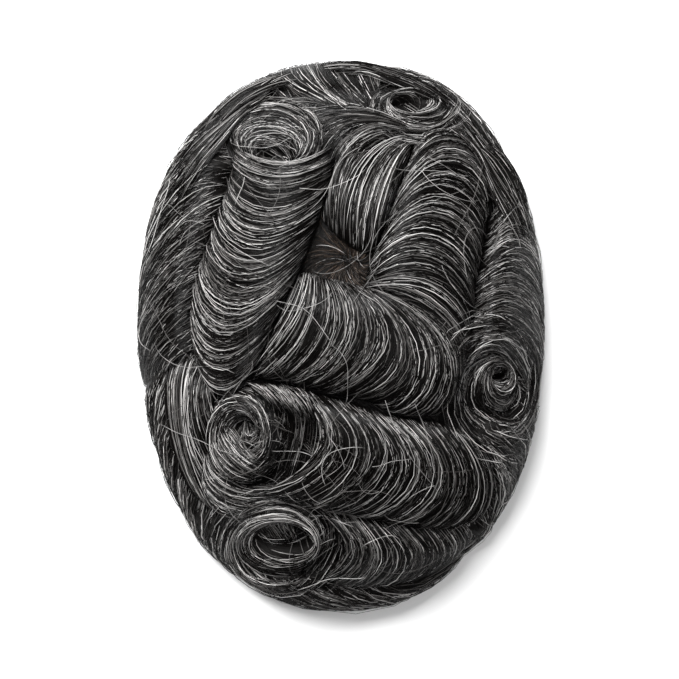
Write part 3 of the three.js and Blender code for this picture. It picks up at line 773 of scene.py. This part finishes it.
def tube_mesh(name, paths, radii, outward, tones, material):
    """Many thin closed tubes as one mesh. Their tones and the way along them are kept in their map."""
    count, steps = paths.shape[:2]
    tangent = np.gradient(paths, axis=1)
    tangent /= np.maximum(np.linalg.norm(tangent, axis=-1, keepdims=True), 1e-12)
    side = np.cross(tangent, outward)
    side /= np.maximum(np.linalg.norm(side, axis=-1, keepdims=True), 1e-12)
    up = np.cross(side, tangent)
    angles = QUARTER_TURN + np.arange(TUBE_SIDES) * 2 * math.pi / TUBE_SIDES
    ring = side[:, :, None] * np.cos(angles)[:, None] + up[:, :, None] * np.sin(angles)[:, None]
    points = paths[:, :, None] + ring * radii[:, :, None, None]
    base = (np.arange(count) * steps * TUBE_SIDES)[:, None, None]
    step = (np.arange(steps - 1) * TUBE_SIDES)[None, :, None]
    k = np.arange(TUBE_SIDES)[None, None, :]
    nk = (k + 1) % TUBE_SIDES
    a = base + step + k
    b = base + step + nk
    quads = np.stack([a, b, b + TUBE_SIDES, a + TUBE_SIDES], axis=-1).reshape(-1, 4)
    first = base[:, 0, 0][:, None] + np.arange(TUBE_SIDES)[::-1][None, :]
    last = base[:, 0, 0][:, None] + (steps - 1) * TUBE_SIDES + np.arange(TUBE_SIDES)[None, :]
    caps = np.concatenate([first, last])
    v = np.linspace(0.01, 0.99, steps)
    quad_v = np.stack([v[:-1], v[:-1], v[1:], v[1:]], axis=-1)
    quad_v = np.broadcast_to(quad_v[None, :, None], (count, steps - 1, TUBE_SIDES, 4))
    quad_u = np.broadcast_to(tones[:, None, None, None], quad_v.shape)
    quad_uv = np.stack([quad_u, quad_v], axis=-1).reshape(-1, 2)
    quad_uv[:, 0] += np.tile([0, 0.002, 0.002, 0], len(quads))
    cap_uv = np.stack([
        np.repeat(np.concatenate([tones, tones]), TUBE_SIDES),
        np.repeat([v[0], v[-1]], count * TUBE_SIDES),
    ], axis=-1)
    cap_uv[:, 0] += np.tile(np.linspace(0, 0.002, TUBE_SIDES), 2 * count)
    faces = np.concatenate([quads.ravel(), caps.ravel()])
    sizes = np.concatenate([np.full(len(quads), 4), np.full(len(caps), TUBE_SIDES)])
    uvs = np.concatenate([quad_uv, cap_uv])
    return mesh_object(name, points.reshape(-1, 3), faces, sizes, uvs, material)


# Materials

class Shading:
    """A new node material, with its shader and short ways to add nodes to it."""

    def __init__(self, name):
        self.material = bpy.data.materials.new(name)
        self.material.use_nodes = True
        self.shader = self.material.node_tree.nodes["Principled BSDF"]

    def add(self, kind, joined=None, **values):
        """Adds a node with its values set, and outputs of other nodes joined to its inputs."""
        node = self.material.node_tree.nodes.new(kind)
        for key, value in values.items():
            if key in node.inputs:
                node.inputs[key].default_value = value
            else:
                setattr(node, key, value)
        for key, output in (joined or {}).items():
            self.material.node_tree.links.new(output, node.inputs[key])
        return node

    def stretched(self, uv, scale, **values):
        """Noise stretched over the map, as its value."""
        place = self.add("ShaderNodeMapping", {"Vector": uv}, Scale=(*scale, 1))
        noise = self.add("ShaderNodeTexNoise", {"Vector": place.outputs["Vector"]}, Scale=1.0, **values)
        return noise.outputs["Fac"]

    def mapped(self, value, before, after):
        """A value mapped from one range to another."""
        ends = dict(zip(("From Min", "From Max", "To Min", "To Max"), (*before, *after)))
        return self.add("ShaderNodeMapRange", {"Value": value}, **ends).outputs["Result"]

    def coloured(self, value, stops):
        """A value as a colour, from pairs of place and colour."""
        node = self.add("ShaderNodeValToRGB", {"Fac": value})
        elements = node.color_ramp.elements
        while len(elements) > 1:
            elements.remove(elements[-1])
        for n, (place, colour) in enumerate(stops):
            element = elements[0] if n == 0 else elements.new(place)
            element.position = place
            element.color = (*colour, 1)
        return node.outputs["Color"]

    def multiplied(self, colour, factor):
        """A colour made lighter or darker by a factor."""
        both = {"A": colour, "B": factor}
        mix = self.add("ShaderNodeMix", both, data_type="RGBA", blend_type="MULTIPLY", Factor=1.0)
        return mix.outputs["Result"]

    def surface(self, colour, roughness, specular=None, bump=None):
        """Gives the shader its colour, finish, and a bump from a value, with its strength and depth."""
        self.material.node_tree.links.new(colour, self.shader.inputs["Base Color"])
        self.shader.inputs["Roughness"].default_value = roughness
        if specular is not None:
            self.shader.inputs["Specular IOR Level"].default_value = specular
        if bump is not None:
            value, strength, depth = bump
            node = self.add("ShaderNodeBump", {"Height": value}, Strength=strength, Distance=depth)
            self.material.node_tree.links.new(node.outputs["Normal"], self.shader.inputs["Normal"])
        return self.material


GREYING_TONES = [
    (0.0, (0.002, 0.0016, 0.0014)),
    (0.44, (0.0055, 0.0045, 0.004)),
    (0.5, (0.022, 0.02, 0.019)),
    (0.75, (0.15, 0.143, 0.138)),
    (1.0, (0.88, 0.86, 0.845)),
]
ROOT_TONES = [(0.0, (0.006, 0.004, 0.003)), (0.7, (0.035, 0.024, 0.017)), (1.0, (0.16, 0.12, 0.095))]
CORE_TONES = [(0.4, (0.0015, 0.0012, 0.001)), (0.58, (0.004, 0.0034, 0.003)), (0.72, (0.05, 0.047, 0.045))]
NET_TONES = [(0.0, (0.2, 0.135, 0.095)), (0.12, (0.24, 0.165, 0.12)), (0.2, (0.37, 0.27, 0.205))]


def strand_material(name, stops):
    """Hair strands, coloured by their tone, with fine random changes along each, and painted shade that
    darkens each strand over its last fifth, where its end sinks into the shade of the valleys.
    """
    hair = Shading(name)
    uv = hair.add("ShaderNodeUVMap", uv_map="OFBake").outputs["UV"]
    split = hair.add("ShaderNodeSeparateXYZ", {"Vector": uv})
    tones = hair.coloured(split.outputs["X"], stops)
    shade = hair.mapped(hair.stretched(uv, (90, 6), Detail=2.0), (0.3, 0.7), (0.55, 1.25))
    # Painted shade: the last fifth of every strand darkens to 0.3 at its tip, standing in for valley shade
    # and dulling the lit tips along the rim
    tips = hair.mapped(split.outputs["Y"], (0.78, 1.0), (1.0, 0.3))
    both = hair.add("ShaderNodeMath", {0: shade, 1: tips}, operation="MULTIPLY")
    return hair.surface(hair.multiplied(tones, both.outputs["Value"]), 0.27, 0.22)


def core_material(name, streaks):
    """The dark mass of hair under the strands, streaked along the way that the hair runs."""
    hair = Shading(name)
    uv = hair.add("ShaderNodeUVMap", uv_map="OFBake").outputs["UV"]
    noise = hair.stretched(uv, streaks, Detail=3.0, Roughness=0.7)
    return hair.surface(hair.coloured(noise, CORE_TONES), 0.55, 0.1, (noise, 0.6, 0.0004))


def net_material():
    """The base: a fine knotted net on a thin skin."""
    net = Shading("base_net")
    place = {"Vector": net.add("ShaderNodeTexCoord").outputs["Object"]}
    cells = net.add("ShaderNodeTexVoronoi", place, feature="DISTANCE_TO_EDGE", Scale=900.0)
    stains = net.add("ShaderNodeTexNoise", place, Scale=45.0, Detail=4.0)
    shade = net.mapped(stains.outputs["Fac"], (0.0, 1.0), (0.75, 1.15))
    threads = net.multiplied(net.coloured(cells.outputs["Distance"], NET_TONES), shade)
    return net.surface(threads, 0.6, bump=(cells.outputs["Distance"], 0.5, 0.0003))


# Pieces

def declare(piece, *nodes, slot="greying_hair"):
    """Hangs a piece from the root body's empty and hides the CAD nodes that it stands for."""
    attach(piece, "root")
    if nodes:
        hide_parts(*nodes)


def eased(heights, times=2):
    """Strands' heights, each evened out with those before and after it along the strand."""
    for _ in range(times):
        padded = np.pad(heights, ((0, 0), (1, 1)), mode="edge")
        heights = (padded[:, :-2] + 2 * heights + padded[:, 2:]) / 4
    return heights


def bridged(ground, wide, narrow, last):
    """The ground's height along strands that lie over its narrow valleys, evened out the given times."""
    return np.maximum(eased(ground, wide), eased(np.maximum(ground, eased(ground, narrow)), last))


def core_piece(lock, material):
    """A lock's dark core: a smooth, lightly ridged hump under its strands."""
    rows, columns = Lock.CORE_GRID
    homes = np.linspace(0, 1, rows, endpoint=not lock.closed)
    home, way = np.meshgrid(homes, np.linspace(0, 1, columns), indexing="ij")
    flat, top = lock.top(home, down_at(way))
    top = np.minimum(LOCK_SEAT + (top - LOCK_SEAT) * CORE_SHARE, eased(top, 4))
    upper = on_dome(flat, np.maximum(top - CORE_SINK, LOCK_SEAT + 0.05 * MM))
    lower = on_dome(flat, np.full_like(top, LOCK_SEAT - 0.2 * MM))
    lean = lock.comb(home, way)[0] - home if not lock.closed else 0
    span = np.stack([(home - lean) * lock.length, way * lock.width], axis=-1) / UV_SPAN
    piece = grid_solid(lock.name + "_core", upper, lower, lock.closed, span, material)
    turn_outward(piece)
    declare(piece, lock.name)


def smooth_noise(rng, count, steps, waves):
    """Smooth random curves about zero, one for each strand."""
    t = np.linspace(0, 1, steps)[None, :]
    curve = np.zeros((count, steps))
    for n in range(1, waves + 1):
        shift = rng.uniform(0, 2 * math.pi, (count, 1))
        curve += rng.normal(0, 1 / n, (count, 1)) * np.sin(n * math.pi * t + shift)
    return curve


def strand_tones(rng, count, grey_share):
    """Tones for strands, from 0, near black, to 1, white."""
    grey = rng.random(count) < grey_share
    return np.where(grey, rng.beta(1.8, 1.5, count) * 0.5 + 0.49, rng.random(count) * 0.45) * 0.99


def tapered(t, thinning):
    """How thick strands are from root to tip, as a share: both their ends are thinner."""
    return 1 - thinning * np.abs(2 * t - 1) ** 4


def lay_strands(name, flat, height, radii, tones, material, *nodes):
    """Strands as one mesh, from rolled-out places and their heights over the base."""
    outward = unit_dome(flat) * HAIR_GROWTH
    piece = tube_mesh(name, on_dome(flat, height), radii, outward, tones, material)
    declare(piece, *nodes)


def streaks(rng, home, length):
    """How much greyer or darker the hair is from place to place along a lock."""
    level = np.zeros(len(home))
    for wave in (3.5, 7, 13, 24):
        level += np.sin(home[:, 0] * length / (wave * MM) * 2 * math.pi + rng.uniform(0, 2 * math.pi))
    return level / 3


def whorl_strands(lock, rng, count, steps):
    """Strands that wind round a whorl, some of them spiralling out of it or across its eye."""
    t = np.linspace(0, 1, steps)[None, :]
    home = rng.random((count, 1))
    sweep = rng.uniform(0.12, 0.42, (count, 1))
    along = home + sweep * t
    inner, outer, spiral, _ = WHORL_SPREADS[lock.name]
    ring = rng.uniform(inner, outer, (count, 1))
    drift = spiral * sweep / 0.4 + rng.normal(0, 0.12, (count, 1))
    down = ring + drift * (t - 0.5) + 0.03 * smooth_noise(rng, count, steps, 3)
    return along, down, home


def combed_strands(lock, rng, count, steps):
    """Strands that lie across an open lock, gathered in clumps, each covering a part of the way."""
    t = np.linspace(0, 1, steps)[None, :]
    short = lock.cover < 1
    if short:
        first = rng.uniform(-0.02, 1.04 - lock.cover, (count, 1))
        reach = lock.cover * rng.uniform(0.75, 1.15, (count, 1))
    else:
        first = rng.uniform(0, 0.25, (count, 1)) ** 1.3
        reach = rng.uniform(0.55, 1.05, (count, 1))
    last = np.minimum(first + reach, 1.03)
    way = first + (last - first) * t
    leans = np.array([lock.root_lean, lock.tip_lean]) * MM / lock.length
    home = rng.uniform(-0.03 - max(leans.max(), 0), 1.03 - min(leans.min(), 0), (count, 1))
    gap = CLUMP_WIDTH / lock.length
    clump = np.round(home / gap + rng.normal(0, 0.22, (count, 1))) * gap
    pull = rng.uniform(0.0, 0.55, (count, 1)) * (0.5 + 0.5 * np.cos(2 * math.pi * (way + clump * 3)))
    along = home + (clump - home) * pull
    stray = 2.4 if short else 1.4
    along = along + rng.standard_t(3, (count, 1)) * stray * MM / lock.length * (t - 0.5)
    along = along + 0.22 * stray * MM / lock.length * smooth_noise(rng, count, steps, 3)
    swing = rng.normal(1, 0.35, (count, 1))
    along, down = lock.comb(along, way, swing)
    return along, down, home


def ends_at_hem(lock, along, down):
    """How far along each strand the hem lies, as a share of its length."""
    flat, _ = lock.place(along, down, above_hem=False)
    outside = reach_of(flat) > HEM_REACH
    share = np.where(outside.any(axis=1), outside.argmax(axis=1) / (along.shape[1] - 1), 1)
    return np.maximum(share, 0.15)[:, None]


def resampled(curves, share, steps):
    """Curves with fewer steps, cut off at a share of their length."""
    last = curves.shape[1] - 1
    place = share * np.linspace(0, 1, steps)[None, :] * last
    low = np.floor(place).astype(int)
    high = np.minimum(low + 1, last)
    part = place - low
    return np.take_along_axis(curves, low, 1) * (1 - part) + np.take_along_axis(curves, high, 1) * part


def strand_piece(lock, surface, seed, material):
    """A lock's strands as one mesh. Those that wind out of a whorl lie over the locks beside it."""
    rng = np.random.default_rng(seed)
    cover = COVERS.get(lock.name, USUAL_COVER)
    if lock.closed:
        mean_length = WHORL_STRAND_SHARE * lock.length
        spread = lock.width * WHORL_BAND
        step_span = mean_length * WHORL_SPREADS[lock.name][1]
    else:
        mean_length = lock.width * LOCK_STRAND_SHARE * lock.cover
        spread = lock.width
        step_span = mean_length
    count = int(cover * lock.length * spread / (mean_length * STRAND_DIAMETER))
    steps = int(np.clip(round(step_span / STEP_LENGTH) + 1, FEWEST_STEPS, MOST_STEPS))
    if lock.closed:
        along, down, home = whorl_strands(lock, rng, count, steps)
    else:
        *fine, home = combed_strands(lock, rng, count, steps * 3)
        share = ends_at_hem(lock, *fine) if lock.over_rim else 1
        along, down = (resampled(curves, share, steps) for curves in fine)
    t = np.linspace(0, 1, steps)[None, :]
    flat, top = lock.top(along, down)
    if lock.closed and WHORL_SPREADS[lock.name][3]:
        top = np.where(down > 0.85, np.maximum(top, surface.at(flat)), top)
    top = eased(top, 1)
    layer = rng.gamma(1.7, 0.3 * MM, (count, 1))
    lift = layer + 0.2 * MM * smooth_noise(rng, count, steps, 4)
    stand = np.clip((top - LOCK_SEAT) / STAND_DEPTH, 0.2, 1)
    if lock.over_rim:
        lift = lift * (1 - 0.9 * t**4) - 0.3 * MM * t**8
    height = LOCK_SEAT + (top - LOCK_SEAT) * STRAND_BED_SHARE + lift * stand
    height = np.maximum(height, LOCK_SEAT - 0.2 * MM)
    grey_share = GREYS.get(lock.name, USUAL_GREY) + 0.12 * streaks(rng, home, lock.length)
    tones = strand_tones(rng, count, grey_share)
    thick = np.where(tones > 0.47, rng.uniform(0.9, 1.3, count), rng.uniform(0.7, 1.1, count))[:, None]
    radii = STRAND_DIAMETER / 2 * thick * tapered(t, 0.6)
    lay_strands(lock.name + "_strands", flat, height, radii, tones, material, lock.name)


def under_hair(comb, nearest, seed, material):
    """Short combed strands that fill the valleys between the locks and the hollows in them."""
    rng = np.random.default_rng(seed)
    count, shortest, longest = UNDER_HAIR
    steps = SHORT_STEPS
    starts = np.zeros((0, 2))
    while len(starts) < count:
        tries = rng.uniform(-1, 1, (6000, 2))
        kept = (nearest.at(tries) > -2.5 * MM) & (reach_of(tries) < 0.93)
        starts = np.concatenate([starts, tries[kept]])
    starts = starts[:count]
    first = np.where(rng.random((count, 1)) < 0.5, -1, 1)
    length = rng.uniform(shortest, longest, (count, 1))
    bend = rng.normal(0, 0.12, (count, 1))
    flat = comb.trace(starts, first, length, steps, bend)
    flat = keep_above_hem(np.stack([eased(flat[..., 0], 3), eased(flat[..., 1], 3)], axis=-1))
    open_ground = np.clip(nearest.at(flat) / (7 * MM), 0, 1)
    layer = rng.gamma(1.5, 0.7 * MM, (count, 1)) * (1 + 1.6 * open_ground)
    height = LOCK_SEAT - 0.4 * MM + layer + 0.25 * MM * smooth_noise(rng, count, steps, 3)
    height = np.maximum(height, BED_TOP)
    tones = strand_tones(rng, count, 0.08)
    t = np.linspace(0, 1, steps)[None, :]
    radii = STRAND_DIAMETER / 2 * rng.uniform(0.75, 1.15, (count, 1)) * tapered(t, 0.5)
    lay_strands("under_hair", flat, height, radii, tones, material)


def sheet_piece(name, surface, seed, material):
    """A sheet of strands over several locks, or down into a hollow."""
    rng = np.random.default_rng(seed)
    profile, count, grey_share, rows = SHEETS[name]
    rows = np.array(rows)
    steps = SHEET_STEPS
    t = np.linspace(0, 1, steps)[None, :]
    along = rng.random((count, 1)) + rng.normal(0, 0.07, (count, 1)) * (t - 0.5)
    along = np.clip(along + 0.012 * smooth_noise(rng, count, steps, 3), 0, 1)
    first = rng.uniform(0, 0.3, (count, 1))
    way = first + (rng.uniform(0.7, 1.05, (count, 1)) - first) * t
    root, mid, tip = (along_curve(roll_out(rows[:, k:k + 2]), along, False) for k in (0, 2, 4))
    flat = keep_above_hem(bowed(root, mid, tip, way))
    if profile is None:
        ground = bridged(surface.at(flat), 4, 2, 1)
        ground = ground + SHEET_LIFT * (1 - 1.5 * np.abs(2 * t - 1) ** 3)
    else:
        stations = np.linspace(0, 1, len(profile))
        ground = LOCK_SEAT + (hair_room(flat) - LOCK_SEAT) * np.interp(way, stations, profile)
    layer = rng.gamma(1.7, 0.35 * MM, (count, 1)) + 0.15 * MM * smooth_noise(rng, count, steps, 3)
    height = np.maximum(ground + layer, LOCK_SEAT)
    tones = strand_tones(rng, count, grey_share)
    radii = STRAND_DIAMETER / 2 * rng.uniform(0.75, 1.15, (count, 1)) * tapered(t, 0.6)
    lay_strands(name, flat, height, radii, tones, material)


def crown_roots(comb, seed, material):
    """Brownish roots that show in the hollow at the crown, and spread from its middle."""
    rng = np.random.default_rng(seed)
    count, shortest, longest = CROWN_ROOTS
    steps = SHORT_STEPS
    middle = roll_out(Comb.CROWN[None, :])[0]
    angle = rng.uniform(0, 2 * math.pi, count)
    spoke = np.stack([np.cos(angle), np.sin(angle)], axis=-1)
    starts = middle + spoke * rng.uniform(0.5, 11, (count, 1)) * MM / ROLLED_SCALE
    outward_first = np.sign((comb.way(starts * ROLLED_SCALE) * spoke).sum(axis=1))[:, None]
    length = rng.uniform(shortest, longest, (count, 1))
    flat = comb.trace(starts, outward_first, length, steps, rng.normal(0, 0.15, (count, 1)))
    t = np.linspace(0, 1, steps)[None, :]
    height = BED_TOP + rng.uniform(0, 1.2, (count, 1)) * MM + 3.5 * MM * t**2 * rng.random((count, 1))
    radii = STRAND_DIAMETER / 2 * rng.uniform(0.6, 1, (count, 1)) * (1 - 0.5 * t**3)
    lay_strands("crown_roots", flat, height, radii, rng.random(count) * 0.99, material)


# Where loose hairs lie: the middle of the place, seen from above, how far they spread from it in mm, their
# number, and their shortest and longest in mm
LOOSE_HAIRS = [
    (0.0, 0.0, 95, 66, 14, 50),
    (-0.22, -0.42, 15, 34, 12, 36),
    (-0.18, -0.74, 13, 20, 9, 22),
    (-0.3, 0.62, 16, 8, 12, 30),
    (0.3, 0.62, 22, 8, 30, 60),
    (-0.75, 0.3, 16, 10, 14, 34),
    (0.2, -0.68, 22, 12, 10, 24),
]


def loose_hairs(surface, seed, material):
    """Single long hairs that stray over the locks in bows of their own."""
    rng = np.random.default_rng(seed)
    steps = LOOSE_STEPS
    paths = []
    for x, y, spread, count, shortest, longest in LOOSE_HAIRS:
        middle = roll_out(np.array([[x, y]]))[0] * ROLLED_SCALE
        starts = middle + rng.normal(0, 0.55, (count, 2)) * spread * MM
        length = rng.uniform(shortest, longest, (count, 1)) * MM
        angle = rng.uniform(0, 2 * math.pi, (count, 1))
        turning = rng.standard_t(3, (count, 1)) * 0.75
        t = np.linspace(0, 1, steps)[None, :]
        heading = angle + turning * t + 0.25 * smooth_noise(rng, count, steps, 3)
        move = np.stack([np.cos(heading), np.sin(heading)], axis=-1) * (length / (steps - 1))[..., None]
        paths.append((starts[:, None, :] + np.cumsum(move, axis=1)) / ROLLED_SCALE)
    flat = np.concatenate(paths)
    flat = flat[(reach_of(flat) < 0.9).all(axis=1)]
    count = len(flat)
    lift = rng.uniform(0.7, 2.2, (count, 1)) * MM + 0.5 * MM * smooth_noise(rng, count, steps, 2)
    ground = bridged(surface.at(flat), 10, 3, 3)
    tones = rng.uniform(0.6, 0.9, count)
    radii = STRAND_DIAMETER / 2 * rng.uniform(0.55, 0.85, (count, 1)) + 0 * flat[..., 0]
    height = ground + np.maximum(lift, 0.4 * MM)
    lay_strands("loose_hairs", flat, height, radii, tones, material)


def root_mat(material):
    """The bed of roots: a dark, uneven shell over the whole base."""
    rings = np.linspace(0, HEM_REACH, 20)
    turns = np.linspace(0, 2 * math.pi, 72, endpoint=False)
    way = np.stack([np.cos(turns), np.sin(turns)], axis=-1)
    way /= reach_of(way)[:, None]
    flat = way[:, None, :] * np.maximum(rings, 0.004)[None, :, None]
    rough = 0.15 * MM * np.sin(flat[..., 0] * 90) * np.sin(flat[..., 1] * 130)
    upper = on_dome(flat, np.full(flat.shape[:2], BED_TOP) + rough)
    lower = on_dome(flat, np.full(flat.shape[:2], BED_LOW))
    row, column = np.indices(flat.shape[:2])
    span = np.stack([row / flat.shape[0], column / flat.shape[1]], axis=-1)
    piece = grid_solid("root_mat", upper, lower, True, span, material)
    turn_outward(piece)
    declare(piece, "root_bed", slot="hair_roots")


def build_hair():
    """Every lock's core and strands, the hair between them, and the roots."""
    locks, nearest = stacked_locks()
    surface = hair_surface(locks)
    strands = strand_material("greying_strands", GREYING_TONES)
    core = core_material("hair_core", (850, 14))
    whorl_core = core_material("whorl_core", (14, 850))
    for seed, name in enumerate(STACKING_ORDER):
        lock = locks[name]
        core_piece(lock, whorl_core if lock.closed else core)
        strand_piece(lock, surface, seed, strands)
    for seed, name in enumerate(SHEETS):
        sheet_piece(name, surface, 50 + seed, strands)
    comb = Comb(locks)
    under_hair(comb, nearest, 100, strands)
    crown_roots(comb, 150, strand_material("brown_roots", ROOT_TONES))
    loose_hairs(surface, 200, strands)
    root_mat(core_material("root_hair", (150, 150)))


def floor_and_light():
    """A pale floor, a wide soft light from the upper left, and an even sky."""
    bpy.ops.mesh.primitive_plane_add(size=6, location=(0, 0, 0))
    floor = bpy.context.object
    floor.name = "floor"
    pale = Shading("pale_floor")
    for key, value in (("Base Color", (0.9, 0.9, 0.9, 1)), ("Roughness", 0.9), ("Specular IOR Level", 0.1)):
        pale.shader.inputs[key].default_value = value
    floor.data.materials.append(pale.material)

    def soft_light(name, place, size, power):
        data = bpy.data.lights.new(name, "AREA")
        data.shape = "DISK"
        data.size = size
        data.energy = power
        light = bpy.data.objects.new(name, data)
        light.location = place
        light.rotation_euler = (Vector((0, 0, 0.03)) - Vector(place)).to_track_quat("-Z", "Y").to_euler()
        bpy.context.scene.collection.objects.link(light)

    soft_light("key_light", (-0.5, 0.95, 1.25), 1.3, 78)
    soft_light("fill_light", (0.4, -0.2, 1.7), 1.3, 12)
    world = bpy.data.worlds.new("studio")
    world.use_nodes = True
    world.node_tree.nodes["Background"].inputs["Color"].default_value = (1, 1, 1, 1)
    world.node_tree.nodes["Background"].inputs["Strength"].default_value = 0.14
    bpy.context.scene.world = world
    bpy.context.scene.view_settings.view_transform = "Standard"


# The photograph's frame: its side in pixels, the size of a pixel, and where the piece's middle lies in it
IMAGE_SIDE = 679
PIXEL = 0.434 * MM
PIECE_X = 341
PIECE_Y = 335.5
LENS = 200
SENSOR = 36
OUTLINE_HEIGHT = 15 * MM


def camera():
    """The camera, straight above the piece with the back of the head up."""
    data = bpy.data.cameras.new("camera")
    data.lens = LENS
    data.sensor_width = SENSOR
    distance = IMAGE_SIDE * PIXEL * LENS / SENSOR
    view = bpy.data.objects.new("camera", data)
    middle = IMAGE_SIDE / 2
    view.location = ((middle - PIECE_X) * PIXEL, (PIECE_Y - middle) * PIXEL, OUTLINE_HEIGHT + distance)
    bpy.context.scene.collection.objects.link(view)
    bpy.context.scene.camera = view


camera()
build_hair()
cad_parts["base_cap"].data.materials.clear()
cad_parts["base_cap"].data.materials.append(net_material())
floor_and_light()
